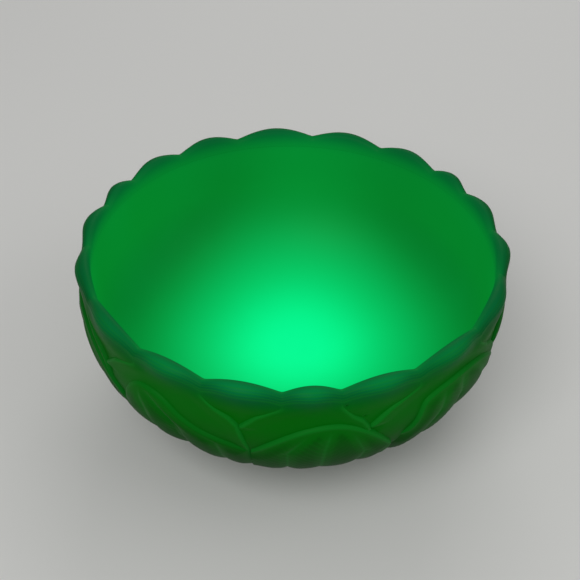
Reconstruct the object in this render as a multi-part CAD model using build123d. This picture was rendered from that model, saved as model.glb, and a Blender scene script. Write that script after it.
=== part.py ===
from build123d import *
import math
import os
from collections import namedtuple

# A pressed-glass bowl with a scalloped rim and overlapping petals on its outside.
# Millimetres and degrees, +Z up. The origin is on the bowl's axis, at the foot.
# The mould's pattern comes three times around, so every list below covers one third.

# ---- driving dimensions ----
RIM_RADIUS = 108.0            # circle through the rim's valleys
RIM_HEIGHT = 104.0            # the valleys' height above the foot
SCALLOP_RISE = 4.6            # a scallop's crest above its valleys
BOWL_RISE = 83.7              # height where the wall stops being upright
POWER = 2 / 2.1               # how square the bowl's round section is
INNER_RADIUS = 105.3
INNER_DROP = 71.0             # from BOWL_RISE down to the inside floor
SHELL_RADIUS = 109.4
SHELL_DROP = 76.6             # from BOWL_RISE down to the outside floor
BACK_RELIEF = 1.6             # how far each layer of petals stands off the shell
FRONT_RELIEF = 3.2
LOWER_RELIEF = 5.0
FLOOR_TOP = 42.0              # the shell's wall stands on its floor at this height
LIP_BOTTOM = 98.0             # the petal tips sit on the shell's wall from here up
LIP_RADIUS = 112.8            # outside of the petal tips
LIP_INNER_ROUND = 3.0         # height of the rounding towards the inside
LIP_OUTER_ROUND = 7.0         # height of the rounding towards the outside
FOOT_RADIUS = 52.0
FOOT_BORE_RADIUS = 44.0
FOOT_TOP = 20.0               # the foot ring is cut off by the shell below this
FOOT_ROUND = 1.2

# ---- the pattern of one third ----
REPEATS = 3
THIRD = 360 / REPEATS
Leaf = namedtuple("Leaf", "start end apex apex_drop fork fork_drop join join_drop")
# start, end: azimuths of the front petal's scallop.
# apex: top of the lower petal under it. fork: where two front petals meet.
# join: where two lower petals meet. Each drop is measured down from RIM_HEIGHT.
LEAVES = (
    Leaf(27.9, 42.3, 39.8, 17.5, 49.5, 24.0, 57.3, 42.0),
    Leaf(62.2, 84.6, 77.0, 14.5, 95.5, 24.0, 101.0, 39.0),
    Leaf(108.6, 128.4, 113.0, 15.5, 137.8, 21.0, 140.5, 37.0),
)

# ---- fineness and overreach ----
CURVE_STEPS = 14
REACH = 160.0                 # longer than any radius, for cutting shapes
OVERLAP_ANGLE = 4.0           # how far a cutting outline runs on past its neighbour
SIDE_SPAN = 90.0              # half width of an arch's cutting outline
ARCH_SLANT = 0.6              # run over rise where an arch meets its joins
LOW = -10.0                   # below the foot


def filled_bowl(radius, drop):
    """A solid bowl shape: upright above BOWL_RISE, a superellipse below it."""
    curve = []
    for step in range(CURVE_STEPS + 1):
        turn = math.pi / 2 * step / CURVE_STEPS
        reach = radius * math.cos(turn) ** POWER if step < CURVE_STEPS else 0.0
        curve.append((reach, 0, BOWL_RISE - drop * math.sin(turn) ** POWER))
    wall = Spline(curve, tangents=[(0, 0, -1), (-1, 0, 0)])
    top = Polyline((0, 0, BOWL_RISE - drop), (0, 0, LIP_BOTTOM), (radius, 0, LIP_BOTTOM), curve[0])
    return revolve(make_face(Wire([wall, *top.edges()])), Axis.Z)


def wedge(start, end):
    """Everything between two upright planes through the axis."""
    corners = [(0, 0)]
    for azimuth in (start, end):
        turn = math.radians(azimuth)
        corners.append((2 * REACH * math.cos(turn), 2 * REACH * math.sin(turn)))
    return extrude(Pos(0, 0, LOW) * make_face(Polyline(*corners, close=True)), REACH)


def facing(azimuth):
    """A plane that faces outward at this azimuth, its x along the rim and its y up."""
    turn = math.radians(azimuth)
    along = (-math.sin(turn), math.cos(turn), 0)
    outward = (math.cos(turn), math.sin(turn), 0)
    return Plane(origin=(0, 0, 0), x_dir=along, z_dir=outward)


def across(azimuth, centre):
    """Distance along the rim, seen straight on from the centre azimuth."""
    return RIM_RADIUS * math.sin(math.radians(azimuth - centre))


def outward_prism(outline, centre):
    """A closed outline, drawn facing the centre azimuth, run straight outward."""
    return extrude(facing(centre) * make_face(outline), REACH)


def lip_ring():
    """The rim as a plain ring with a rounded top, before it is cut into scallops."""
    crest = RIM_HEIGHT + SCALLOP_RISE
    inner_centre = (RIM_RADIUS, crest - LIP_INNER_ROUND)
    outer_centre = (RIM_RADIUS, crest - LIP_OUTER_ROUND)
    inner_arc = EllipticalCenterArc(inner_centre, RIM_RADIUS - INNER_RADIUS, LIP_INNER_ROUND, 90)
    outer_arc = EllipticalCenterArc(outer_centre, LIP_RADIUS - RIM_RADIUS, LIP_OUTER_ROUND, 0)
    sides = Polyline(inner_arc @ 1, (INNER_RADIUS, LIP_BOTTOM), (LIP_RADIUS, LIP_BOTTOM), outer_arc @ 0)
    section = Plane.XZ * (inner_arc + outer_arc + sides)
    return revolve(make_face(section), Axis.Z)


def scallop(ring, start, end):
    """One scallop: the part of the ring between two valleys, under an arched top."""
    centre = (start + end) / 2
    half = across(end, centre)
    crest = RIM_HEIGHT + SCALLOP_RISE
    arch = ThreePointArc((-half, RIM_HEIGHT), (0, crest), (half, RIM_HEIGHT))
    sides = Polyline((half, RIM_HEIGHT), (SIDE_SPAN, RIM_HEIGHT), (SIDE_SPAN, LOW), (-SIDE_SPAN, LOW),
                     (-SIDE_SPAN, RIM_HEIGHT), (-half, RIM_HEIGHT))
    return ring & wedge(start, end) & outward_prism(arch + sides, centre)


def lower_region(leaf, left_join, left_drop):
    """The space of a lower petal: its wedge, under an arched top."""
    left = across(left_join, leaf.apex)
    right = across(leaf.join, leaf.apex)
    left_point = (left, RIM_HEIGHT - left_drop)
    right_point = (right, RIM_HEIGHT - leaf.join_drop)
    arch = Spline([left_point, (0, RIM_HEIGHT - leaf.apex_drop), right_point],
                  tangents=[(ARCH_SLANT, 1), (1, 0), (ARCH_SLANT, -1)])
    sides = Polyline(right_point, (SIDE_SPAN, right_point[1]), (SIDE_SPAN, LOW), (-SIDE_SPAN, LOW),
                     (-SIDE_SPAN, left_point[1]), left_point)
    return wedge(left_join, leaf.join) & outward_prism(arch + sides, leaf.apex)


def front_region(leaf, left_fork, left_fork_drop, left_join):
    """The space of a front petal, widening downward from its scallop."""
    centre = (leaf.start + leaf.end) / 2
    outline = [
        (leaf.start, 0),
        (left_fork, left_fork_drop),
        (left_join - OVERLAP_ANGLE, RIM_HEIGHT),
        (leaf.join, RIM_HEIGHT),
        (leaf.join, leaf.join_drop),
        (leaf.fork, leaf.fork_drop),
        (leaf.end, 0),
    ]
    points = [(across(azimuth, centre), RIM_HEIGHT - drop) for azimuth, drop in outline]
    return outward_prism(Polyline(*points, close=True), centre)


def foot_ring(shell):
    """The ring that the bowl stands on, rounded at its resting edges."""
    ring = Cylinder(FOOT_RADIUS, FOOT_TOP, align=(Align.CENTER, Align.CENTER, Align.MIN))
    ring -= Cylinder(FOOT_BORE_RADIUS, FOOT_TOP, align=(Align.CENTER, Align.CENTER, Align.MIN))
    resting = ring.edges().filter_by(GeomType.CIRCLE).group_by(Axis.Z)[0]
    return fillet(resting, FOOT_ROUND) - shell


def turned(leaf, third):
    """The same leaf in another third of the bowl."""
    angle = third * THIRD
    return leaf._replace(start=leaf.start + angle, end=leaf.end + angle, apex=leaf.apex + angle,
                         fork=leaf.fork + angle, join=leaf.join + angle)


def one_solid(shape):
    """The largest solid of a shape, without the slivers that a cut can leave."""
    return max(shape.solids(), key=lambda solid: solid.volume)


def all_parts():
    """Every named solid of the bowl."""
    shell = filled_bowl(SHELL_RADIUS, SHELL_DROP)
    relief = {}
    for name, height in (("back", BACK_RELIEF), ("front", FRONT_RELIEF), ("lower", LOWER_RELIEF)):
        relief[name] = filled_bowl(SHELL_RADIUS + height, SHELL_DROP + height) - shell
    ring = lip_ring()
    foot_room = Cylinder(FOOT_RADIUS, 2 * FOOT_TOP)

    leaves = [turned(leaf, third) for third in range(REPEATS) for leaf in LEAVES]
    count = len(leaves)
    lower = []
    front = []
    for number, leaf in enumerate(leaves):
        turn = THIRD * REPEATS if number == 0 else 0
        before = leaves[number - 1]
        lower.append(lower_region(leaf, before.join - turn, before.join_drop))
        front.append(front_region(leaf, before.fork - turn, before.fork_drop, before.join - turn))

    hollow_shell = shell - filled_bowl(INNER_RADIUS, INNER_DROP)
    level = Plane.XY.offset(FLOOR_TOP)
    parts = {
        "bowl_wall": one_solid(split(hollow_shell, level, keep=Keep.TOP)),
        "bowl_floor": one_solid(split(hollow_shell, level, keep=Keep.BOTTOM)),
        "foot_ring": foot_ring(shell),
    }
    for number, leaf in enumerate(leaves):
        after = (number + 1) % count
        next_start = leaves[after].start + (THIRD * REPEATS if after == 0 else 0)
        low_pad = (relief["lower"] & lower[number]) - foot_room
        front_pad = relief["front"] & front[number]
        for other in (number - 1, number, after):
            front_pad -= lower[other]
        front_pad -= front[number - 1]
        back_pad = relief["back"] & wedge(leaf.end, next_start)
        back_pad = back_pad - front[number] - front[after] - lower[number] - lower[after]
        label = number + 1
        parts[f"lower_petal_{label}"] = one_solid(low_pad)
        parts[f"front_petal_{label}"] = one_solid(one_solid(front_pad) + scallop(ring, leaf.start, leaf.end))
        parts[f"back_petal_{label}"] = one_solid(one_solid(back_pad) + scallop(ring, leaf.end, next_start))
    return parts


os.makedirs("parts", exist_ok=True)
for name, solid in all_parts().items():
    export_step(solid, f"parts/{name}.step")
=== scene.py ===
import math
import bpy
import numpy as np
from mathutils import Matrix, Vector


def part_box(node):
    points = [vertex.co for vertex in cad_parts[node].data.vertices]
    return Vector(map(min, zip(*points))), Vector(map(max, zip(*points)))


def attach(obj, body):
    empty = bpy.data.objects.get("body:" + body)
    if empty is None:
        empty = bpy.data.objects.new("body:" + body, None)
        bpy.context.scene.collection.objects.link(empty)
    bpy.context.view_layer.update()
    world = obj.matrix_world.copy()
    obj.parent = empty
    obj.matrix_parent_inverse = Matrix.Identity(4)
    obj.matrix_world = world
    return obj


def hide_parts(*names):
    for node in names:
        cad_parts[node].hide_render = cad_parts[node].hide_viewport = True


# A pressed uranium-glass bowl: a smooth shell on a foot ring, wrapped in overlapping leaf-like petals
# whose tips make the scalloped rim. Lengths are metres, angles degrees unless a name says otherwise.
# "Down" is measured along the wall, from the rim. A pair of lengths named REACH, START, SPAN, RISE or FADE
# holds the two places between which something grows smoothly from nothing to its full strength.

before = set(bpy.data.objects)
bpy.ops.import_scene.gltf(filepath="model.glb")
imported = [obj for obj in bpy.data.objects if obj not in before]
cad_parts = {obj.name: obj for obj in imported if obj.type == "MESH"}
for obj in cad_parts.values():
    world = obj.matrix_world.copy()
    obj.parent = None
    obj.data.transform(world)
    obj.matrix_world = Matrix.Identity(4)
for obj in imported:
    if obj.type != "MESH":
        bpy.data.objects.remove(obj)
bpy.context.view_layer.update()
MM = 0.001

# ---- the bowl's own curves, as in the CAD model ----
RIM_RADIUS = 108 * MM
RIM_HEIGHT = 104 * MM
BOWL_RISE = 83.7 * MM         # the height where the wall's straight upper part ends
POWER = 2 / 2.1               # of the superellipse below it
INNER_RADIUS = 105.3 * MM
INNER_DROP = 71 * MM
SHELL_RADIUS = 109.4 * MM
SHELL_DROP = 76.6 * MM
LIP_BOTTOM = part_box("bowl_wall")[1].z

# ---- the foot ring ----
FOOT_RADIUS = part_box("foot_ring")[1].x
FOOT_BORE_RADIUS = 44 * MM
FOOT_TOP = 15 * MM            # hidden, where the shell and the lower petals end
FOOT_INNER_ROUND = 1.6 * MM
FOOT_OUTER_ROUND = 1.8 * MM
FOOT_WAIST = 0.7 * MM
FOOT_WAIST_START = 0.2        # share of the way up its side

# ---- the scalloped lip ----
SCALLOP_DIP = 0.30 * MM       # the valleys lie this far under the rim's height
SCALLOP_RISE = 4.2 * MM       # and a usual scallop's crest this far above them
SCALLOP_POWER = 0.74          # under 1 is fuller than a sine wave
VALLEY_ROUND = 2.4 * MM       # how softly two scallops run into each other
USUAL_SCALLOP = 20            # degrees: a wider scallop rises a little more, a narrower one less
WIDTH_POWER = 0.11
LIP_RADIUS = 0.998 * RIM_RADIUS       # of the rim's top line at a valley
LIP_LEAN = 0.003 * RIM_RADIUS         # and how much more it is at a crest
LIP_HEIGHT = 4.2 * MM         # of the lip's outer rounding at a valley
LIP_TALLER = 0.6 * MM         # and how much more it is at a crest
LIP_INNER_FALL = 3.0 * MM     # height of its inner rounding
INNER_WALL_SHARES = (0.35, 0.7, 1.0)  # places down the straight inside below it
SWELL_VALLEY = 1.2 * MM       # how far the lip stands off the shell at a valley
SWELL_CREST = 2.6 * MM        # and how much more at a crest
LIP_FADE = (0, 13 * MM)       # down: from the lip's swell to the petal's own relief
LIP_LINES = (0.22, 0.42, 0.62)        # fine lines along the lip, from its lower edge (0) to the crest (1)
LIP_LINE_WIDTH = 0.055
LIP_LINE_RISE = 0.14 * MM
JOIN_WIDTH = 0.8 * MM         # of the line where the lip starts

# ---- the pattern of one third of the mould ----
REPEATS = 3
THIRD = 360 / REPEATS
# Azimuths in degrees: start and end of the front scallop, fork where two front petals meet, apex of the
# lower petal, middle of that petal low down, join where two lower petals meet. Millimetres: how far down
# fork, apex and join are, lap is how far the lower petal's right edge rises over its neighbour (under 0 it
# dips), tuck how far its left edge dips, furrow its midrib's depth and edge the width of its rounding.
LEAVES = (
    dict(start=27.9, end=42.3, fork=49.5, fork_drop=23.0, apex=39.8, apex_drop=17.3, middle=38.5,
         join=57.3, join_drop=43.0, lap=0.1, tuck=0.5, furrow=0.9, edge=2.3),
    dict(start=62.2, end=84.6, fork=95.5, fork_drop=23.0, apex=77.0, apex_drop=13.5, middle=80.0,
         join=101.0, join_drop=39.0, lap=0.1, tuck=3.0, furrow=2.7, edge=2.6),
    dict(start=108.6, end=128.4, fork=137.8, fork_drop=20.5, apex=112.0, apex_drop=15.0, middle=120.0,
         join=140.5, join_drop=37.5, lap=-0.3, tuck=0.4, furrow=3.3, edge=3.6),
)
AZIMUTHS = ("start", "end", "fork", "apex", "middle", "join")
# From here on, their lengths are metres too.
LEAVES = tuple({key: value if key in AZIMUTHS else value * MM for key, value in leaf.items()}
               for leaf in LEAVES)
# The sides of a lower petal's arch: (share of the way out to the join, share of the fall to it).
PLAIN_SIDE = ((0, 0), (0.2, 0.04), (0.4, 0.16), (0.6, 0.36), (0.8, 0.64), (1, 1))
SQUARE_SIDE = ((0, 0), (0.34, 0.04), (0.51, 0.08), (0.67, 0.16), (0.71, 0.28), (0.73, 0.52), (0.80, 0.73),
               (0.92, 0.81), (1, 1))
SLOPING_SIDE = ((0, 0), (0.16, 0.05), (0.27, 0.19), (0.37, 0.44), (0.56, 0.69), (0.70, 0.78), (1, 1))
ARCH_LEFT = (PLAIN_SIDE, SQUARE_SIDE, PLAIN_SIDE)
ARCH_RIGHT = (PLAIN_SIDE, PLAIN_SIDE, SLOPING_SIDE)
# The edges of a front petal: (share of the way from the valley to the fork, share of the fall).
SWEEP_LEFT = ((0, 0), (0.03, 0.30), (0.30, 0.43), (0.62, 0.62), (1, 1))
SWEEP_RIGHT = ((0, 0), (0.05, 0.30), (0.43, 0.60), (0.78, 0.78), (1, 1))
# And on from there, under its neighbours: (degrees past the fork, millimetres below it).
TAIL_LEFT = ((-2, 8), (-2, 35))
TAIL_RIGHT = ((1, 7), (2.7, 17), (2.7, 35))
FRONT_REACH = 26 * MM         # a front petal runs this far below its lower fork, hidden
BACK_REACH = 5 * MM           # and a back petal this far below the fork in front of it
PAST_BACK = 60 * MM           # down: past the end of any back petal
LINE_END = 90 * MM            # down: a lower petal's right edge is drawn to here, and fades out below
RIGHT_OVERRUN = 0.8           # degrees a lower petal runs on past its right join at the foot
LEFT_OVERRUN = 2.0            # and past its left one
FOOT_OVERLAP = 1.5 * MM       # it ends this far inside the foot ring's outer radius

# ---- the upper petals' relief, as heights off the shell ----
UPPER_TOP = 2.6 * MM
UPPER_BACK = -0.6 * MM        # their hidden backs lie in the shell
FRONT_HOLLOW = 0.8 * MM       # how much lower a front petal is away from its edges
HOLLOW_REACH = (1.5 * MM, 9 * MM)     # in from the edge
FRONT_TUCK = 1.2 * MM         # how far its left edge dives under its neighbour
TUCK_START = (0, 4 * MM)      # down from the fork
TUCK_REACH = (4 * MM, 8 * MM)         # in from the left edge, where the dive ends
FRONT_BEAD_IN = 1.0 * MM      # the raised line along its edges: this far in
FRONT_BEAD_WIDTH = 0.8 * MM
FRONT_BEAD_RISE = 0.20 * MM
BEAD_START = (3 * MM, 10 * MM)        # down
FRONT_MIDRIB_WIDTH = 1.5 * MM
FRONT_MIDRIB_RISE = 0.15 * MM
MIDRIB_START = (10 * MM, 20 * MM)     # down
FRONT_EDGE = 2.0 * MM         # the width over which its edges round off
EDGE_START = (5 * MM, 12 * MM)        # down, where they start to
UNDER_TOP = 1.0 * MM          # the height that they round off to, at the rim
UNDER_FALL = 1.4 * MM         # and how much lower it is further down
UNDER_REACH = (0, 9 * MM)     # down
BACK_FALL = 1.6 * MM          # how much lower a back petal is further down
BACK_FALL_SPAN = (6 * MM, 20 * MM)    # down
PITS = ((283.2, 7.0 * MM), (288.0, 16.6 * MM))    # azimuth, down
PIT_WIDTH = 0.8 * MM
PIT_DEPTH = 0.7 * MM

# ---- the lower petals' relief ----
LOWER_TOP = 3.4 * MM          # near their edges
LOWER_SWELL = 0.9 * MM        # and how much higher further in
LOWER_BURIED = -0.8 * MM      # their edges round off to this
LOWER_BACK = -0.9 * MM        # and their hidden backs lie deeper still
INWARD_REACH = (2 * MM, 9 * MM)       # in from the edge
LOWER_BEAD_IN = 1.2 * MM      # the raised line along their edges: this far in
LOWER_BEAD_WIDTH = 0.9 * MM
LOWER_BEAD_RISE = 0.3 * MM
# The veins: (place across the petal, width, reach of the furrow around). Place 0 is the midrib, and the
# petal's edges are at -1 and 1.
VEINS = ((-0.50, 0.8 * MM, 3.5 * MM), (0.0, 1.1 * MM, 5.5 * MM), (0.57, 0.8 * MM, 3.5 * MM))
VEIN_FURROW = 1.3 * MM        # depth of the two outer furrows: the midrib's is its leaf's own
FURROW_POWER = 1.2            # over 1 is steeper
FURROW_DEEPENS = 30 * MM      # within this below the apex, they grow from half their depth to all of it
MIDRIB_SETTLED = 38 * MM      # down: from here a midrib lies at its leaf's middle
LEAST_HALF = 0.5              # degrees: half a petal counts as at least this wide
SIDE_VEIN_STEP = 3.6 * MM     # between the fine veins that climb from the midrib to the edges
SIDE_VEIN_CLIMB = 0.9         # how far they rise for each millimetre out
SIDE_VEIN_WIDTH = 0.85 * MM
SIDE_VEIN_RISE = 0.11 * MM
RIGHT_SIDE_VEINS = 0.35       # their strength on a petal's right half
LEFT_REACH = (0, 9 * MM)      # in from the left edge, where a tuck ends
RIGHT_REACH = (1 * MM, 9 * MM)        # in from the right edge, where a lap ends
ABOVE_JOIN = 12 * MM          # laps and tucks start this far above their join
LAPPED_ABOVE = 4 * MM         # and a lap is full this far above it
FOOT_FALL = 0.75              # how much of their height petals lose at the foot
FOOT_FADE = 8 * MM            # from this far outside it

# ---- ripples, and the tone of ridges and hollows, the hollows' darkness being painted shade ----
# Waves round the bowl, their slant, shift and share.
WAVES = ((5, 0.9, 1.0, 1.0), (11, -0.7, 2.1, 1.0), (23, 1.9, 0.7, 0.6))
RIPPLE = 0.10 * MM
RIPPLE_EDGE = 5 * MM          # ripples fade out within this of a lower petal's edge
UPPER_SEED = 1.3
LOWER_SEED = 4.1
PLAIN_TONE = 0.35             # plain glass's tone: ridges have more, up to 1, hollows less as painted shade
EDGE_TONE = 0.75
FRONT_TONE_WIDTH = 1.3 * MM
LOWER_TONE_WIDTH = 1.4 * MM
SHARP_EDGE = 2.3 * MM         # an edge rounded over more than this shows less
FRONT_MIDRIB_TONE = 0.15
VEIN_TONE = 0.55
SIDE_VEIN_TONE = 0.24
JOIN_TONE = 0.5
LIP_LINE_TONE = 0.55
BACK_SHADE = 0.6               # painted shade: how hollow a back petal looks between the front petals
HOLLOW_START = (9 * MM, 18 * MM)      # down, where painted shade starts to make upper petals look hollow
# Where painted shade darkens a lower petal:
SUNK_REACH = (2 * MM, 7 * MM)         # in from a lower petal's edge
SUNK_FROM_VEIN = (1 * MM, 6 * MM)     # and away from its veins

# ---- fineness ----
ROUND_COLUMNS = 240           # round the shell and the foot ring
SHELL_OUTER_ROWS = 60
SHELL_INNER_ROWS = 150
QUARTER_STEPS = 8             # round each edge of the foot ring, and up its side
UPPER_COLUMNS = 56
UPPER_ROWS = 70
LIP_STEPS = 26                # over the lip's outside
INNER_LIP_STEPS = 6           # and its inside
LOWER_COLUMNS = 110
LOWER_ROWS = 130
ROW_POWER = 1.15              # over 1 puts the rows closer together at the top
BACK_ROWS = 14                # down a petal's hidden back
ARCH_SMOOTHINGS = 9
SHARP_ANGLE = math.radians(50)
FAR = 1.0                     # farther than anything on the bowl
TINY = 1e-12                  # keeps a division by zero away


# ---- curves down the wall ----

class Wall:
    """A line down the wall: radius, height and outward normal at a distance down from the rim."""

    def __init__(self, radius, drop, steps=600):
        turn = np.linspace(0, math.pi / 2, steps)
        r = radius * np.maximum(np.cos(turn), 0) ** POWER
        z = BOWL_RISE - drop * np.sin(turn) ** POWER
        # The wall starts with a straight, upright part from the rim down to where the curve begins.
        r = np.concatenate([[radius, radius], r[1:]])
        z = np.concatenate([[RIM_HEIGHT, BOWL_RISE], z[1:]])
        self.d = np.concatenate([[0], np.cumsum(np.hypot(np.diff(r), np.diff(z)))])
        self.r = r
        self.z = z
        tangent_r = np.gradient(r, self.d)
        tangent_z = np.gradient(z, self.d)
        length = np.hypot(tangent_r, tangent_z)
        self.normal_r = -tangent_z / length
        self.normal_z = tangent_r / length

    def at(self, down, height):
        """Radius and height above the table of points this far down and this far off the wall."""
        r = np.interp(down, self.d, self.r)
        z = np.interp(down, self.d, self.z) + np.maximum(-down, 0)
        off_r = r + np.interp(down, self.d, self.normal_r) * height
        off_z = z + np.interp(down, self.d, self.normal_z) * height
        return off_r, off_z

    def radius(self, down):
        return np.interp(down, self.d, self.r)

    def down_at_radius(self, radius):
        """How far down the wall its radius has shrunk to this."""
        return float(np.interp(-radius, -self.r[1:], self.d[1:]))


def smooth(low, high, value):
    """0 below low, 1 above high, and a smooth rise between."""
    t = np.clip((value - low) / (high - low), 0, 1)
    return t * t * (3 - 2 * t)


def ridge(distance, width):
    """A rounded ridge across a distance."""
    return np.exp(-(distance / width) ** 2)


def waviness(azimuth, down, seed):
    """The gentle unevenness of fire-polished glass, between about -1 and 1."""
    total = 0
    for around, slant, shift, share in WAVES:
        phase = around * np.radians(azimuth) + slant * down / (10 * MM) + shift * seed
        total = total + share * np.sin(phase)
    return total / sum(share for _, _, _, share in WAVES)


wall = Wall(SHELL_RADIUS, SHELL_DROP)
inside = Wall(INNER_RADIUS, INNER_DROP)


# ---- making meshes ----

def polar(r, azimuth, z):
    """Points at these radii, azimuths and heights."""
    a = np.radians(azimuth)
    return np.stack([r * np.cos(a), r * np.sin(a), z], axis=-1)


def zipped(first, second):
    """Triangles between two lines of points that run side by side."""
    faces = []
    i = j = 0
    while i < len(first) - 1 or j < len(second) - 1:
        second_done = j == len(second) - 1
        first_next = i < len(first) - 1 and (i + 1) * (len(second) - 1) <= (j + 1) * (len(first) - 1)
        if second_done or first_next:
            faces.append((first[i], first[i + 1], second[j]))
            i += 1
        else:
            faces.append((first[i], second[j + 1], second[j]))
            j += 1
    return faces


def loop_grid(points, near, far):
    """A closed mesh from columns of closed loops: points[column, place on the loop].

    The first near places and the last far places of a loop lie face to face, and the rest join them.
    """
    columns, places = points.shape[:2]
    index = np.arange(columns * places).reshape(columns, places)
    faces = []
    for c in range(columns - 1):
        for p in range(places):
            q = (p + 1) % places
            faces.append((index[c, p], index[c + 1, p], index[c + 1, q], index[c, q]))
    for column, step in ((0, 1), (columns - 1, -1)):
        loop = [int(i) for i in index[column]]
        cap = zipped(loop[:near], loop[places - far:][::-1])
        if places > near + far:
            cap.append(tuple(loop[near - 1:places - far + 1]))
        faces.extend(face[::step] for face in cap)
    return points.reshape(-1, 3), faces


def spun(r, z, closed):
    """A line of radii and heights, spun round the axis. A closed line joins its end to its start."""
    azimuth = np.arange(ROUND_COLUMNS) * 360 / ROUND_COLUMNS
    places = len(r)
    points = polar(r[None, :], azimuth[:, None], np.broadcast_to(z, (ROUND_COLUMNS, places)))
    faces = []
    for c in range(ROUND_COLUMNS):
        n = (c + 1) % ROUND_COLUMNS
        for p in range(places if closed else places - 1):
            q = (p + 1) % places
            faces.append((c * places + p, n * places + p, n * places + q, c * places + q))
    return points.reshape(-1, 3), faces


def piece(name, points, faces, material, node):
    """A Blender object that stands for one CAD node and rides with the bowl."""
    mesh = bpy.data.meshes.new(name)
    mesh.from_pydata([tuple(p) for p in points], [], [tuple(int(i) for i in f) for f in faces])
    mesh.validate()
    mesh.shade_smooth()
    mesh.set_sharp_from_angle(angle=SHARP_ANGLE)
    mesh.materials.append(material)
    made = bpy.data.objects.new(name, mesh)
    bpy.context.scene.collection.objects.link(made)
    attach(made, "root")
    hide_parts(node)
    return made


def keep_values(made, name, values):
    """Keeps a value for each point with the mesh, for the glass to read."""
    attribute = made.data.attributes.new(name, "FLOAT", "POINT")
    attribute.data.foreach_set("value", np.asarray(values, np.float32))


# ---- materials ----

class Graph:
    """Short ways to add nodes to one material."""

    def __init__(self, name):
        self.material = bpy.data.materials.new(name)
        self.material.use_nodes = True
        self.tree = self.material.node_tree
        self.shader = self.tree.nodes["Principled BSDF"]

    def node(self, kind, **settings):
        """A new node with these settings."""
        made = self.tree.nodes.new(kind)
        for key, value in settings.items():
            setattr(made, key, value)
        return made

    def link(self, source, target):
        """Joins an output to an input, or writes a plain number or (r, g, b) into it."""
        if isinstance(source, bpy.types.NodeSocket):
            self.tree.links.new(source, target)
        elif isinstance(source, tuple):
            target.default_value = (*source, 1)
        else:
            target.default_value = source

    def math(self, operation, *inputs):
        """One of Blender's math operations."""
        made = self.node("ShaderNodeMath", operation=operation)
        for source, target in zip(inputs, made.inputs):
            self.link(source, target)
        return made.outputs[0]

    def times(self, first, *factors):
        """The product of all of these."""
        for factor in factors:
            first = self.math("MULTIPLY", first, factor)
        return first

    def length(self, x, y):
        """How far (x, y) is from (0, 0)."""
        return self.math("SQRT", self.math("ADD", self.times(x, x), self.times(y, y)))

    def smoothed(self, value, low, high):
        """A smooth step from 0 at low to 1 at high."""
        made = self.node("ShaderNodeMapRange", interpolation_type="SMOOTHSTEP")
        self.link(value, made.inputs["Value"])
        made.inputs["From Min"].default_value = low
        made.inputs["From Max"].default_value = high
        return made.outputs["Result"]

    def ramp(self, value, stops):
        """A colour ramp: stops are (place, (r, g, b))."""
        made = self.node("ShaderNodeValToRGB")
        made.color_ramp.interpolation = "B_SPLINE"
        elements = made.color_ramp.elements
        while len(elements) < len(stops):
            elements.new(0.5)
        for element, (place, colour) in zip(elements, stops):
            element.position = place
            element.color = (*colour, 1)
        self.link(value, made.inputs[0])
        return made.outputs["Color"]

    def mix(self, share, first, second, blend="MIX"):
        """Two colours mixed: the first at share 0, the second at 1."""
        made = self.node("ShaderNodeMix", data_type="RGBA", blend_type=blend)
        self.link(share, made.inputs["Factor"])
        self.link(first, made.inputs["A"])
        self.link(second, made.inputs["B"])
        return made.outputs["Result"]

    def noise(self, place, scale, detail):
        """Soft noise between 0 and 1."""
        made = self.node("ShaderNodeTexNoise")
        self.link(place, made.inputs["Vector"])
        made.inputs["Scale"].default_value = scale
        made.inputs["Detail"].default_value = detail
        return made.outputs["Fac"]


BLACK = (0.0, 0.0, 0.0)
WHITE = (1.0, 1.0, 1.0)
GLASS_ROUGHNESS = 0.46
GLASS_SPECULAR = 0.03
CLOUD_SCALE = 22                     # faint clouds in the glass: noise waves per metre
CLOUD_DETAIL = 3
CLOUD_SPAN = (0.3, 0.7)              # the noise's values from no cloud to full cloud

# The glow inside. It lies a little behind the bowl's axis.
GLOW_CENTRE = (3 * MM, 18 * MM)
GLOW_REACH = 1.2 * RIM_RADIUS        # the distance from that centre that a stop's place of 1 stands for
GLOW_NARROWING = 0.3                 # how much narrower it gets with each rim radius towards the back
GLOW_STOPS = (
    (0.000, (0.001, 0.955, 0.297)),
    (0.100, (0.001, 0.950, 0.290)),
    (0.167, (0.001, 0.905, 0.265)),
    (0.233, (0.001, 0.835, 0.230)),
    (0.317, (0.001, 0.690, 0.175)),
    (0.400, (0.001, 0.565, 0.125)),
    (0.483, (0.001, 0.455, 0.092)),
    (0.567, (0.001, 0.345, 0.058)),
    (0.650, (0.001, 0.245, 0.033)),
    (0.717, (0.001, 0.190, 0.024)),
    (0.775, (0.001, 0.190, 0.024)),
    (0.875, (0.001, 0.228, 0.027)),
)
WALL_STOPS = (                       # factors on the glow, from the table's height up to the crests'
    (0.00, (1.00, 1.00, 1.00)),
    (0.40, (1.00, 1.00, 1.00)),
    (0.55, (0.90, 0.92, 0.72)),
    (0.70, (1.00, 1.04, 0.72)),
    (0.88, (0.95, 1.02, 0.78)),
    (0.94, (0.78, 0.80, 0.88)),
    (1.00, (0.40, 0.36, 0.80)),
)
CLOUD_GLOW = (0.001, 0.30, 0.06)
CLOUD_GLOW_SHARE = 0.05
INNER_BASE = (0.001, 0.030, 0.008)
INNER_CLOUD = (0.001, 0.034, 0.009)
UNDERSIDE_GREEN = (0.000, 0.060, 0.003)
UNDERSIDE_GLOW = (0.000, 0.010, 0.001)
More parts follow.
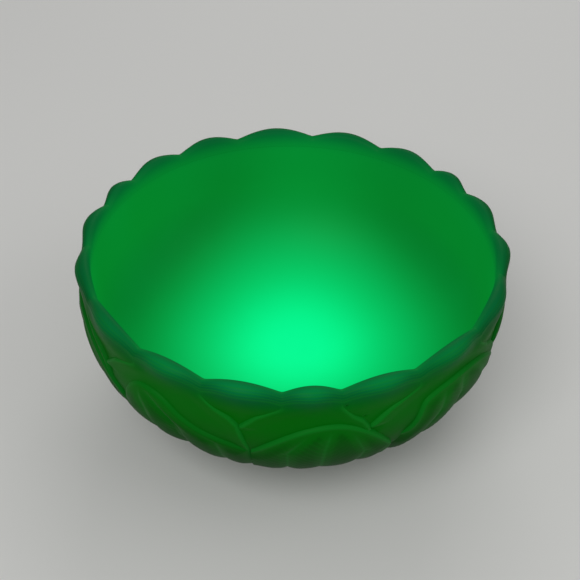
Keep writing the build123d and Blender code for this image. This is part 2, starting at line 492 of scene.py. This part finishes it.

# The outside.
# Painted shade and light: a darker teal band where the lip rolls over, and lighter crests.
LIP_STOPS = (                        # up the outside, from below the lip to the top of the crests
    (0.00, (0.000, 0.088, 0.001)),
    (0.24, (0.000, 0.086, 0.001)),
    (0.43, (0.000, 0.080, 0.004)),
    (0.62, (0.000, 0.070, 0.014)),
    (0.76, (0.000, 0.082, 0.025)),
    (0.95, (0.001, 0.130, 0.032)),
)
LIP_SPAN = (RIM_HEIGHT - 16 * MM, RIM_HEIGHT + 5 * MM)       # the heights of places 0 and 1 in that
CLOUD_GREEN = (0.001, 0.098, 0.006)
CLOUD_GREEN_SHARE = 0.25
# Painted shade in the hollows: the colour they darken towards, and how far.
HOLLOW_SHADE_GREEN = (0.0, 0.010, 0.0)
HOLLOW_SHADE_SHARE = 0.30
RIDGE_GREEN = (0.003, 0.126, 0.010)
RIDGE_SHARE = 0.9
LOW_SHADE = 0.68                     # painted shade: how bright the glass's colour stays low down
OUTSIDE_GLOW = (0.06, 0.42)          # how much of its own colour it gives off: everywhere, and at most
GLOW_FRONT = (0.30 * RIM_RADIUS, 0.98 * RIM_RADIUS)    # how far forward it starts to grow and is full
GLOW_RISE = (45 * MM, 88 * MM)       # and how high up. The glass's colour is painted brighter there too, with painted shade below.
CREST_GLOW = (0.000, 0.055, 0.010)   # how much more the crests glow in front, where the light leaks out
CREST_SPAN = (RIM_HEIGHT - 1 * MM, RIM_HEIGHT + 5 * MM)
RIM_TURN = (RIM_RADIUS - 1.2 * MM, RIM_RADIUS + 2.6 * MM)    # radii from the lip's inside to its outside
BELOW_LIP = (1 * MM, 2 * MM)         # and this far below the lip, all of a petal looks like its outside


def glow_colour(graph, x, y, z):
    """The glow inside the bowl: brightest over the floor, with a darker band round the wall."""
    across = graph.math("SUBTRACT", y, GLOW_CENTRE[1])
    narrowing = graph.math("MULTIPLY_ADD", across, GLOW_NARROWING / RIM_RADIUS, 1.0)
    along = graph.times(graph.math("SUBTRACT", x, GLOW_CENTRE[0]), narrowing)
    distance = graph.math("DIVIDE", graph.length(along, across), GLOW_REACH)
    up = graph.math("DIVIDE", z, RIM_HEIGHT + SCALLOP_RISE)
    return graph.mix(1.0, graph.ramp(distance, GLOW_STOPS), graph.ramp(up, WALL_STOPS), "MULTIPLY")


def outer_green(graph, z, cloud, high):
    """Deep green outside, lighter on ridges; painted shade in hollows and low down, painted shade and light
    on the lip.
    """
    tone = graph.node("ShaderNodeAttribute", attribute_name="tone").outputs["Fac"]
    on_ridge = graph.smoothed(tone, PLAIN_TONE, 1.0)
    in_hollow = graph.smoothed(graph.math("SUBTRACT", PLAIN_TONE, tone), 0.0, PLAIN_TONE)
    up = graph.math("DIVIDE", graph.math("SUBTRACT", z, LIP_SPAN[0]), LIP_SPAN[1] - LIP_SPAN[0])
    green = graph.mix(graph.times(cloud, CLOUD_GREEN_SHARE), graph.ramp(up, LIP_STOPS), CLOUD_GREEN)
    # Painted shade: the hollows darken.
    green = graph.mix(graph.times(in_hollow, HOLLOW_SHADE_SHARE), green, HOLLOW_SHADE_GREEN)
    # Painted shade: the colour darkens low down.
    green = graph.mix(1.0, green, graph.mix(high, (LOW_SHADE,) * 3, WHITE), "MULTIPLY")
    return graph.mix(graph.times(on_ridge, RIDGE_SHARE), green, RIDGE_GREEN)


def petal_looks(graph, x, y, z, cloud):
    """Colour and glow of the petals and the foot ring, with the inside's looks on the lip's inner side."""
    high = graph.smoothed(z, *GLOW_RISE)
    front = graph.smoothed(graph.times(y, -1.0), *GLOW_FRONT)
    green = outer_green(graph, z, cloud, high)
    more = graph.times(front, high, OUTSIDE_GLOW[1] - OUTSIDE_GLOW[0])
    own = graph.mix(graph.math("ADD", OUTSIDE_GLOW[0], more), BLACK, green)
    leaked = graph.mix(graph.times(front, graph.smoothed(z, *CREST_SPAN)), BLACK, CREST_GLOW)
    below_lip = graph.smoothed(graph.math("SUBTRACT", LIP_BOTTOM, z), *BELOW_LIP)
    outer_side = graph.math("MAXIMUM", graph.smoothed(graph.length(x, y), *RIM_TURN), below_lip)
    glow = graph.mix(outer_side, glow_colour(graph, x, y, z), graph.mix(1.0, own, leaked, "ADD"))
    return graph.mix(outer_side, INNER_BASE, green), glow


def shell_looks(graph, x, y, z, cloud):
    """Colour and glow of the shell: it glows inside, and its underside is plain green glass."""
    lit = graph.node("ShaderNodeAttribute", attribute_name="lit").outputs["Fac"]
    glow = graph.mix(graph.times(cloud, CLOUD_GLOW_SHARE), glow_colour(graph, x, y, z), CLOUD_GLOW)
    base = graph.mix(cloud, INNER_BASE, INNER_CLOUD)
    return graph.mix(lit, UNDERSIDE_GREEN, base), graph.mix(lit, UNDERSIDE_GLOW, glow)


def uranium_glass(name, looks):
    """Satin uranium glass, whose looks give its colour and glow."""
    graph = Graph(name)
    place = graph.node("ShaderNodeTexCoord").outputs["Object"]
    split = graph.node("ShaderNodeSeparateXYZ")
    graph.link(place, split.inputs[0])
    cloud = graph.smoothed(graph.noise(place, CLOUD_SCALE, CLOUD_DETAIL), *CLOUD_SPAN)
    base, glow = looks(graph, *split.outputs, cloud)
    graph.link(base, graph.shader.inputs["Base Color"])
    graph.link(glow, graph.shader.inputs["Emission Color"])
    graph.shader.inputs["Emission Strength"].default_value = 1.0
    graph.shader.inputs["Roughness"].default_value = GLASS_ROUGHNESS
    graph.shader.inputs["Specular IOR Level"].default_value = GLASS_SPECULAR
    return graph.material


petal_glass = uranium_glass("petal_glass", petal_looks)
inner_glass = uranium_glass("inner_glass", shell_looks)


# ---- the shell and the foot ring ----

def bowl_shell():
    """The plain bowl inside the petals: glowing inside, and seen again within the foot ring."""
    lip_down = RIM_HEIGHT - LIP_BOTTOM
    outer_r, outer_z = wall.at(np.linspace(wall.d[-1], lip_down, SHELL_OUTER_ROWS), 0)
    inner_down = np.linspace(0, inside.d[-1], SHELL_INNER_ROWS)
    inner_r, inner_z = inside.at(inner_down[inner_down > lip_down], 0)
    # The two ends of this line are on the axis, so they are one point each and not a ring.
    points, faces = spun(np.concatenate([outer_r[1:], inner_r[:-1]]),
                         np.concatenate([outer_z[1:], inner_z[:-1]]), closed=False)
    lowest = len(points)
    places = lowest // ROUND_COLUMNS
    points = np.vstack([points, [(0, 0, outer_z[0])], [(0, 0, inner_z[-1])]])
    for c in range(ROUND_COLUMNS):
        n = (c + 1) % ROUND_COLUMNS
        faces.append((lowest, n * places, c * places))
        faces.append((lowest + 1, c * places + places - 1, n * places + places - 1))
    made = piece("shell_glass", points, faces, inner_glass, "bowl_wall")
    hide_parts("bowl_floor")
    lit = np.zeros(places)
    lit[len(outer_r) - 1:] = 1
    keep_values(made, "lit", np.append(np.tile(lit, ROUND_COLUMNS), (0, 1)))


def quarter(middle_r, radius, start):
    """A quarter circle that rests on the table, from a start angle on: radii and heights."""
    turn = np.radians(np.linspace(start, start + 90, QUARTER_STEPS))
    return middle_r + radius * np.cos(turn), radius + radius * np.sin(turn)


def foot_ring():
    """The ring the bowl stands on: a slight waist outside and a flat resting face with rounded edges."""
    inner_r, inner_z = quarter(FOOT_BORE_RADIUS + FOOT_INNER_ROUND, FOOT_INNER_ROUND, 180)
    outer_r, outer_z = quarter(FOOT_RADIUS - FOOT_OUTER_ROUND, FOOT_OUTER_ROUND, 270)
    rise = np.linspace(FOOT_WAIST_START, 1, QUARTER_STEPS)
    waist_r = FOOT_RADIUS - FOOT_WAIST * np.sin(math.pi * rise)
    waist_z = FOOT_OUTER_ROUND + rise * (FOOT_TOP - FOOT_OUTER_ROUND)
    points, faces = spun(np.concatenate([[FOOT_BORE_RADIUS], inner_r, outer_r, waist_r]),
                         np.concatenate([[FOOT_TOP], inner_z, outer_z, waist_z]), closed=True)
    piece("foot_ring_glass", points, faces, petal_glass, "foot_ring")


# ---- the scalloped lip ----

def columns_of(count):
    """Shares across a petal, closer together at its two edges."""
    return (1 - np.cos(np.linspace(0, math.pi, count))) / 2


def scallop_at(share, width):
    """The scalloped rim at one column: radius and height of the crest, and height of the lip's lower edge."""
    half = math.radians(width) * RIM_RADIUS / 2
    eased = math.hypot(2 * half * min(share, 1 - share), VALLEY_ROUND) - VALLEY_ROUND
    turn = math.pi / 2 * eased / (math.hypot(half, VALLEY_ROUND) - VALLEY_ROUND)
    rise = math.sin(turn) ** SCALLOP_POWER * (width / USUAL_SCALLOP) ** WIDTH_POWER
    crest_z = RIM_HEIGHT - SCALLOP_DIP + SCALLOP_RISE * rise
    return LIP_RADIUS + LIP_LEAN * rise, crest_z, crest_z - LIP_HEIGHT - LIP_TALLER * rise


def lip_line(share):
    """How much a place on the lip's outside is on one of its fine lines."""
    return sum(ridge(share - place, LIP_LINE_WIDTH) for place in LIP_LINES)


def lip_section(crest_r, crest_z, join_z, outer_radius):
    """The rim across one column: from the outer face over the crest to the bowl's inside."""
    section = []
    for share in np.arange(1, LIP_STEPS + 1) / LIP_STEPS:
        turn = math.pi / 2 * share
        reach = outer_radius - crest_r + LIP_LINE_RISE * lip_line(share)
        section.append((crest_r + reach * math.cos(turn),
                        crest_z - (crest_z - join_z) * (1 - math.sin(turn))))
    for turn in np.linspace(math.pi / 2, math.pi, INNER_LIP_STEPS + 1)[1:]:
        section.append((crest_r + (crest_r - INNER_RADIUS) * math.cos(turn),
                        crest_z - LIP_INNER_FALL * (1 - math.sin(turn))))
    last_z = section[-1][1]
    for share in INNER_WALL_SHARES:
        section.append((INNER_RADIUS, last_z + (LIP_BOTTOM - last_z) * share))
    return np.array(section)


# ---- the petals' relief ----

def edge_distance(azimuth, down, edge_azimuth, edge_down):
    """How far points are from an edge line, along the wall. All in azimuth and distance down."""
    radius = wall.radius(down)
    best = np.full(np.shape(azimuth), FAR)
    for a0, d0, a1, d1 in zip(edge_azimuth[:-1], edge_down[:-1], edge_azimuth[1:], edge_down[1:]):
        ax = np.radians(azimuth - a0) * radius
        ay = down - d0
        bx = np.radians(a1 - a0) * radius
        by = d1 - d0
        along = np.clip((ax * bx + ay * by) / (bx * bx + by * by + TINY), 0, 1)
        best = np.minimum(best, np.hypot(ax - along * bx, ay - along * by))
    return best


def rounded_edge(distance, width):
    """0 at a petal's edge, rising like a quarter circle to 1."""
    t = np.clip(distance / width, 0, 1)
    return np.sqrt(np.maximum(1 - (1 - t) ** 2, 0))


def toned(mark, shaded):
    """A point's tone from how much it is on a ridge and how deep in a hollow (painted shade), both 0 to 1."""
    return PLAIN_TONE + (1 - PLAIN_TONE) * mark - PLAIN_TONE * shaded * (1 - mark)


def pits(azimuth, down):
    """Two small blemishes in the glass, on the right edge of the narrow petal that faces the viewer."""
    depth = np.zeros(np.shape(azimuth))
    for pit_azimuth, pit_down in PITS:
        across = np.radians(azimuth - pit_azimuth) * wall.radius(down)
        depth = depth + ridge(np.hypot(across, down - pit_down), PIT_WIDTH)
    return depth


def front_relief(azimuth, down, left, right):
    """A front petal below the lip: its height, and how much its points are on a ridge or in a hollow."""
    from_left = edge_distance(azimuth, down, *left)
    edge = np.minimum(from_left, edge_distance(azimuth, down, *right))
    fork_down = left[1][len(SWEEP_LEFT) - 1]
    tucked = smooth(*TUCK_START, down - fork_down) * (1 - smooth(*TUCK_REACH, from_left))
    across = np.radians(azimuth - (left[0][0] + right[0][0]) / 2) * wall.radius(down)
    midrib = ridge(across, FRONT_MIDRIB_WIDTH) * smooth(*MIDRIB_START, down)
    shown = smooth(*BEAD_START, down) * (1 - tucked)
    bead = ridge(edge - FRONT_BEAD_IN, FRONT_BEAD_WIDTH) * shown
    hollow = smooth(*HOLLOW_REACH, edge)
    top = UPPER_TOP - FRONT_HOLLOW * hollow - FRONT_TUCK * tucked
    top = top + FRONT_BEAD_RISE * bead + FRONT_MIDRIB_RISE * midrib
    under = UNDER_TOP - UNDER_FALL * smooth(*UNDER_REACH, down)
    leaf = top - (top - under) * (1 - rounded_edge(edge, FRONT_EDGE)) * smooth(*EDGE_START, down)
    mark = np.maximum(EDGE_TONE * ridge(edge - FRONT_BEAD_IN, FRONT_TONE_WIDTH) * shown,
                      FRONT_MIDRIB_TONE * midrib)
    # Its third value darkens the hollow away from the edges, as painted shade.
    return leaf, mark, hollow * smooth(*HOLLOW_START, down)


def upper_relief(azimuth, down, share, left, right, front):
    """Height of an upper petal off the shell, and each point's tone."""
    side = np.abs(2 * share - 1)
    pillow = SWELL_VALLEY + SWELL_CREST * (1 + np.cos(math.pi * side)) / 2
    if front:
        leaf, mark, shaded = front_relief(azimuth, down, left, right)
    else:
        leaf = UPPER_TOP - BACK_FALL * smooth(*BACK_FALL_SPAN, down)
        mark = 0 * down
        # Painted shade where the back petal shows between the front petals.
        shaded = BACK_SHADE * smooth(*HOLLOW_START, down)
    away = smooth(*LIP_FADE, down)
    height = pillow * (1 - away) + leaf * away + RIPPLE * waviness(azimuth, down, UPPER_SEED)
    return height, toned(mark, shaded)


def place_across(azimuth, down, leaf, arch):
    """Where points lie across a lower petal, -1 to 1 with the midrib at 0, and half its width there."""
    line, drops, apex_place = arch
    left_edge = np.interp(down, drops[apex_place::-1], line[apex_place::-1])
    right_edge = np.interp(down, drops[apex_place:], line[apex_place:])
    settled = smooth(leaf["apex_drop"], MIDRIB_SETTLED, down)
    middle = leaf["apex"] + (leaf["middle"] - leaf["apex"]) * settled
    half = np.where(azimuth < middle, middle - left_edge, right_edge - middle)
    share = np.clip((azimuth - middle) / np.maximum(half, LEAST_HALF), -1, 1)
    return share, np.radians(right_edge - left_edge) * wall.radius(down) / 2


def veins_at(share, half_width, midrib_furrow):
    """How much points are on a vein, how deep in the furrow around one, and how far from the nearest."""
    vein = np.zeros(np.shape(share))
    furrow = np.zeros(np.shape(share))
    nearest = np.full(np.shape(share), FAR)
    for place, width, reach in VEINS:
        depth = midrib_furrow if place == 0 else VEIN_FURROW
        off = np.abs(share - place) * half_width
        vein = np.maximum(vein, ridge(off, width))
        furrow = np.maximum(furrow, depth * np.exp(-off / reach) ** FURROW_POWER)
        nearest = np.minimum(nearest, off)
    return vein, furrow, nearest


def lapping(azimuth, down, leaf, arch):
    """How much a lower petal rises where its edges lap over its neighbours, or dips under them."""
    line, drops, _ = arch
    radius = wall.radius(down)
    past_left = np.radians(azimuth - line[0]) * radius
    past_right = np.radians(line[-1] + RIGHT_OVERRUN - azimuth) * radius
    tucked = (1 - smooth(*LEFT_REACH, past_left)) * smooth(drops[0] - ABOVE_JOIN, drops[0], down)
    lapped = (1 - smooth(*RIGHT_REACH, past_right)) * smooth(drops[-1] - ABOVE_JOIN,
                                                             drops[-1] - LAPPED_ABOVE, down)
    return leaf["lap"] * lapped - leaf["tuck"] * tucked


def lower_relief(azimuth, down, leaf, arch):
    """Height of a lower petal off the shell, and each point's tone."""
    line, drops, _ = arch
    edge_line = np.append(line, line[-1] + RIGHT_OVERRUN)
    edge = edge_distance(azimuth, down, edge_line, np.append(drops, LINE_END))
    inward = smooth(*INWARD_REACH, edge)
    share, half_width = place_across(azimuth, down, leaf, arch)
    vein, furrow, nearest = veins_at(share, half_width, leaf["furrow"])
    climbed = down + SIDE_VEIN_CLIMB * np.abs(share) * half_width
    fine = ridge(np.mod(climbed, SIDE_VEIN_STEP) - SIDE_VEIN_STEP / 2, SIDE_VEIN_WIDTH) * inward
    fine = fine * np.where(share < 0, 1.0, RIGHT_SIDE_VEINS)
    deeper = smooth(leaf["apex_drop"], leaf["apex_drop"] + FURROW_DEEPENS, down)
    top = LOWER_TOP + LOWER_SWELL * inward - furrow * inward * (1 + deeper) / 2
    top = top + LOWER_BEAD_RISE * ridge(edge - LOWER_BEAD_IN, LOWER_BEAD_WIDTH) + SIDE_VEIN_RISE * fine
    near_foot = smooth(wall.down_at_radius(FOOT_RADIUS + FOOT_FADE), wall.down_at_radius(FOOT_RADIUS), down)
    top = (top + lapping(azimuth, down, leaf, arch)) * (1 - FOOT_FALL * near_foot)
    height = LOWER_BURIED + (top - LOWER_BURIED) * rounded_edge(edge, leaf["edge"])
    height = height + RIPPLE * waviness(azimuth, down, LOWER_SEED) * rounded_edge(edge, RIPPLE_EDGE)
    rim_mark = EDGE_TONE * ridge(edge - LOWER_BEAD_IN, LOWER_TONE_WIDTH) * min(SHARP_EDGE / leaf["edge"], 1)
    mark = np.maximum(rim_mark, np.maximum(VEIN_TONE * vein * inward, SIDE_VEIN_TONE * fine))
    # Painted shade, darker away from the petal's edges and its veins.
    shaded = smooth(*SUNK_REACH, edge) * smooth(*SUNK_FROM_VEIN, nearest)
    return height, toned(mark, shaded)


# ---- the petals ----

def between(left, right, down, share):
    """Azimuths this share of the way from a petal's left edge to its right edge."""
    first = np.interp(down, left[1], left[0])
    return first + (np.interp(down, right[1], right[0]) - first) * share


def upper_petal(layer, number, left, right, bottom):
    """One upper petal with its scallop. left and right are its edges, as (azimuths, drops)."""
    start, end = left[0][0], right[0][0]
    loops = []
    tones = []
    for share in columns_of(UPPER_COLUMNS):
        crest_r, crest_z, join_z = scallop_at(share, end - start)
        down = np.linspace(bottom, RIM_HEIGHT - join_z, UPPER_ROWS)
        azimuth = between(left, right, down, share)
        height, tone = upper_relief(azimuth, down, share, left, right, layer == "front")
        pitted = pits(azimuth, down)
        join_mark = JOIN_TONE * ridge(down - down[-1], JOIN_WIDTH)
        # A pit takes the tone to nothing, as painted shade in it.
        tone = np.maximum(tone, toned(join_mark, 0)) * (1 - pitted)
        outer_r, outer_z = wall.at(down, height - PIT_DEPTH * pitted)
        section = lip_section(crest_r, crest_z, join_z, outer_r[-1])
        lip_azimuth = np.full(len(section), start + (end - start) * share)
        past_join = np.hypot(section[:, 0] - outer_r[-1], section[:, 1] - outer_z[-1])
        lip_mark = JOIN_TONE * ridge(past_join, JOIN_WIDTH)
        lip_mark[:LIP_STEPS] += LIP_LINE_TONE * lip_line(np.arange(1, LIP_STEPS + 1) / LIP_STEPS)
        lip_tone = toned(np.minimum(lip_mark, 1), 0)
        back_down = np.linspace(RIM_HEIGHT - LIP_BOTTOM, bottom, BACK_ROWS)
        back_r, back_z = wall.at(back_down, UPPER_BACK)
        loops.append(np.vstack([polar(outer_r, azimuth, outer_z),
                                polar(section[:, 0], lip_azimuth, section[:, 1]),
                                polar(back_r, between(left, right, back_down, share), back_z)]))
        tones.append(np.concatenate([tone, lip_tone, np.full(BACK_ROWS, PLAIN_TONE)]))
    points, faces = loop_grid(np.array(loops), UPPER_ROWS, BACK_ROWS)
    made = piece(f"{layer}_petal_glass_{number}", points, faces, petal_glass, f"{layer}_petal_{number}")
    keep_values(made, "tone", np.concatenate(tones))


def resampled(azimuth, down, count):
    """The same line with its points evenly spaced along the wall."""
    steps = np.hypot(np.radians(np.diff(azimuth)) * RIM_RADIUS, np.diff(down))
    along = np.concatenate([[0], np.cumsum(steps)])
    even = np.linspace(0, along[-1], count)
    return np.interp(even, along, azimuth), np.interp(even, along, down)


def arch_of(leaf, before, left_side, right_side):
    """A lower petal's arched top, evenly spaced along its length: azimuths, drops, and the apex's place."""
    azimuth = []
    down = []
    for side, end in ((left_side[::-1], before), (right_side[1:], leaf)):
        for share, fall in side:
            azimuth.append(leaf["apex"] + (end["join"] - leaf["apex"]) * share)
            down.append(leaf["apex_drop"] + (end["join_drop"] - leaf["apex_drop"]) * fall)
    for _ in range(2):
        azimuth, down = resampled(np.array(azimuth), np.array(down), LOWER_COLUMNS)
        for _ in range(ARCH_SMOOTHINGS):
            azimuth[1:-1] = (azimuth[:-2] + 2 * azimuth[1:-1] + azimuth[2:]) / 4
            down[1:-1] = (down[:-2] + 2 * down[1:-1] + down[2:]) / 4
    return azimuth, down, int(np.argmin(down))


def lower_petal(number, leaf, arch):
    """One broad lower petal, from its arched top down to the foot ring."""
    line, drops, _ = arch
    foot_down = wall.down_at_radius(FOOT_RADIUS - FOOT_OVERLAP)
    foot_line = np.linspace(line[0] - LEFT_OVERRUN, line[-1] + RIGHT_OVERRUN, LOWER_COLUMNS)
    face = np.linspace(0, 1, LOWER_ROWS) ** ROW_POWER
    shares = np.concatenate([face, np.linspace(1, 0, BACK_ROWS)])
    loops = []
    tones = []
    for column in range(LOWER_COLUMNS):
        down = drops[column] + (foot_down - drops[column]) * shares
        azimuth = line[column] + (foot_line[column] - line[column]) * shares
        height, tone = lower_relief(azimuth[:LOWER_ROWS], down[:LOWER_ROWS], leaf, arch)
        r, z = wall.at(down, np.append(height, np.full(BACK_ROWS, LOWER_BACK)))
        loops.append(polar(r, azimuth, z)[::-1])
        tones.append(np.append(tone, np.full(BACK_ROWS, PLAIN_TONE))[::-1])
    points, faces = loop_grid(np.array(loops), BACK_ROWS, LOWER_ROWS)
    made = piece(f"lower_petal_glass_{number}", points, faces, petal_glass, f"lower_petal_{number}")
    keep_values(made, "tone", np.concatenate(tones))


def turned(leaf, angle):
    """The same leaf, this many degrees further round the bowl."""
    return {key: value + angle if key in AZIMUTHS else value for key, value in leaf.items()}


def swept(valley, fork, fork_drop, shape, tail):
    """A front petal's edge: down from its valley to the fork, then on by tail, as (azimuths, drops)."""
    azimuths = [valley + (fork - valley) * share for share, _ in shape]
    drops = [fork_drop * fall for _, fall in shape]
    for turn, fall in tail:
        azimuths.append(fork + turn)
        drops.append(fork_drop + fall * MM)
    return azimuths, drops


def straight(azimuth):
    """A back petal's edge, straight down from a valley, as (azimuths, drops)."""
    return [azimuth, azimuth], [0.0, PAST_BACK]


def petals():
    """All three layers of petals, the same in each third of the bowl."""
    leaves = [turned(leaf, third * THIRD) for third in range(REPEATS) for leaf in LEAVES]
    for place, leaf in enumerate(leaves):
        number = place + 1
        kind = place % len(LEAVES)
        before = turned(leaves[place - 1], -360 if place == 0 else 0)
        after = turned(leaves[number % len(leaves)], 360 if number == len(leaves) else 0)
        left = swept(leaf["start"], before["fork"], before["fork_drop"], SWEEP_LEFT, TAIL_LEFT)
        right = swept(leaf["end"], leaf["fork"], leaf["fork_drop"], SWEEP_RIGHT, TAIL_RIGHT)
        upper_petal("front", number, left, right, max(leaf["fork_drop"], before["fork_drop"]) + FRONT_REACH)
        upper_petal("back", number, straight(leaf["end"]), straight(after["start"]),
                    leaf["fork_drop"] + BACK_REACH)
        lower_petal(number, leaf, arch_of(leaf, before, ARCH_LEFT[kind], ARCH_RIGHT[kind]))


bowl_shell()
foot_ring()
petals()


# ---- the studio ----

CAMERA_DISTANCE = 4.915 * RIM_RADIUS
CAMERA_ELEVATION = math.radians(37.68)
AIM_BELOW_RIM = math.radians(2.59)
AIM_LEFT = math.radians(0.19)
CAMERA_ROLL = math.radians(1.06)
LENS = 62.8                   # millimetres, as is the sensor's width
SENSOR_WIDTH = 36
NEAREST_SEEN = 0.01           # the camera's near limit
FLOOR_HALF = 6.0
FLOOR_LEVEL = -0.1 * MM       # just under the foot ring
FLOOR_COLOUR = (0.78, 0.78, 0.76)
FLOOR_ROUGHNESS = 0.9
FLOOR_SPECULAR = 0.1
WORLD_STRENGTH = 0.30
LIGHT_AIM = Vector((0, 0, 0.05))
LIGHTS = (                    # name, place, width, watts
    ("key_light", (-0.45, -0.95, 1.25), 0.9, 9),
    ("fill_light", (1.1, -0.3, 0.9), 1.0, 2.5),
    ("back_light", (0.2, 1.2, 1.0), 0.9, 4),
)


def camera():
    """The viewpoint: in front of the bowl, looking down across the rim."""
    back = Vector((0, -math.cos(CAMERA_ELEVATION), math.sin(CAMERA_ELEVATION)))
    across = Vector((1, 0, 0))
    up = back.cross(across)
    base = Matrix((across, up, back)).transposed().to_4x4()
    turn = (Matrix.Rotation(CAMERA_ROLL, 4, "Z") @ Matrix.Rotation(-AIM_BELOW_RIM, 4, "X")
            @ Matrix.Rotation(AIM_LEFT, 4, "Y"))
    data = bpy.data.cameras.new("camera")
    data.sensor_width = SENSOR_WIDTH
    data.lens = LENS
    data.clip_start = NEAREST_SEEN
    made = bpy.data.objects.new("camera", data)
    bpy.context.scene.collection.objects.link(made)
    place = Vector((0, 0, RIM_HEIGHT)) + back * CAMERA_DISTANCE
    made.matrix_world = Matrix.Translation(place) @ base @ turn
    bpy.context.scene.camera = made


def softbox(name, place, width, watts):
    """A square soft light that faces the bowl."""
    data = bpy.data.lights.new(name, "AREA")
    data.size = width
    data.energy = watts
    made = bpy.data.objects.new(name, data)
    made.location = place
    made.rotation_euler = (LIGHT_AIM - Vector(place)).to_track_quat("-Z", "Y").to_euler()
    bpy.context.scene.collection.objects.link(made)


def pale_floor():
    """A pale floor, far wider than the picture."""
    graph = Graph("floor")
    graph.link(FLOOR_COLOUR, graph.shader.inputs["Base Color"])
    graph.shader.inputs["Roughness"].default_value = FLOOR_ROUGHNESS
    graph.shader.inputs["Specular IOR Level"].default_value = FLOOR_SPECULAR
    corners = [(-FLOOR_HALF, -FLOOR_HALF, FLOOR_LEVEL), (FLOOR_HALF, -FLOOR_HALF, FLOOR_LEVEL),
               (FLOOR_HALF, FLOOR_HALF, FLOOR_LEVEL), (-FLOOR_HALF, FLOOR_HALF, FLOOR_LEVEL)]
    mesh = bpy.data.meshes.new("floor")
    mesh.from_pydata(corners, [], [(0, 1, 2, 3)])
    mesh.materials.append(graph.material)
    floor = bpy.data.objects.new("floor", mesh)
    bpy.context.scene.collection.objects.link(floor)


def studio():
    """Plain soft white light over a pale floor."""
    pale_floor()
    world = bpy.data.worlds.new("world")
    world.use_nodes = True
    background = world.node_tree.nodes["Background"]
    background.inputs["Color"].default_value = (1, 1, 1, 1)
    background.inputs["Strength"].default_value = WORLD_STRENGTH
    bpy.context.scene.world = world
    for light in LIGHTS:
        softbox(*light)
    bpy.context.scene.view_settings.view_transform = "Standard"


camera()
studio()
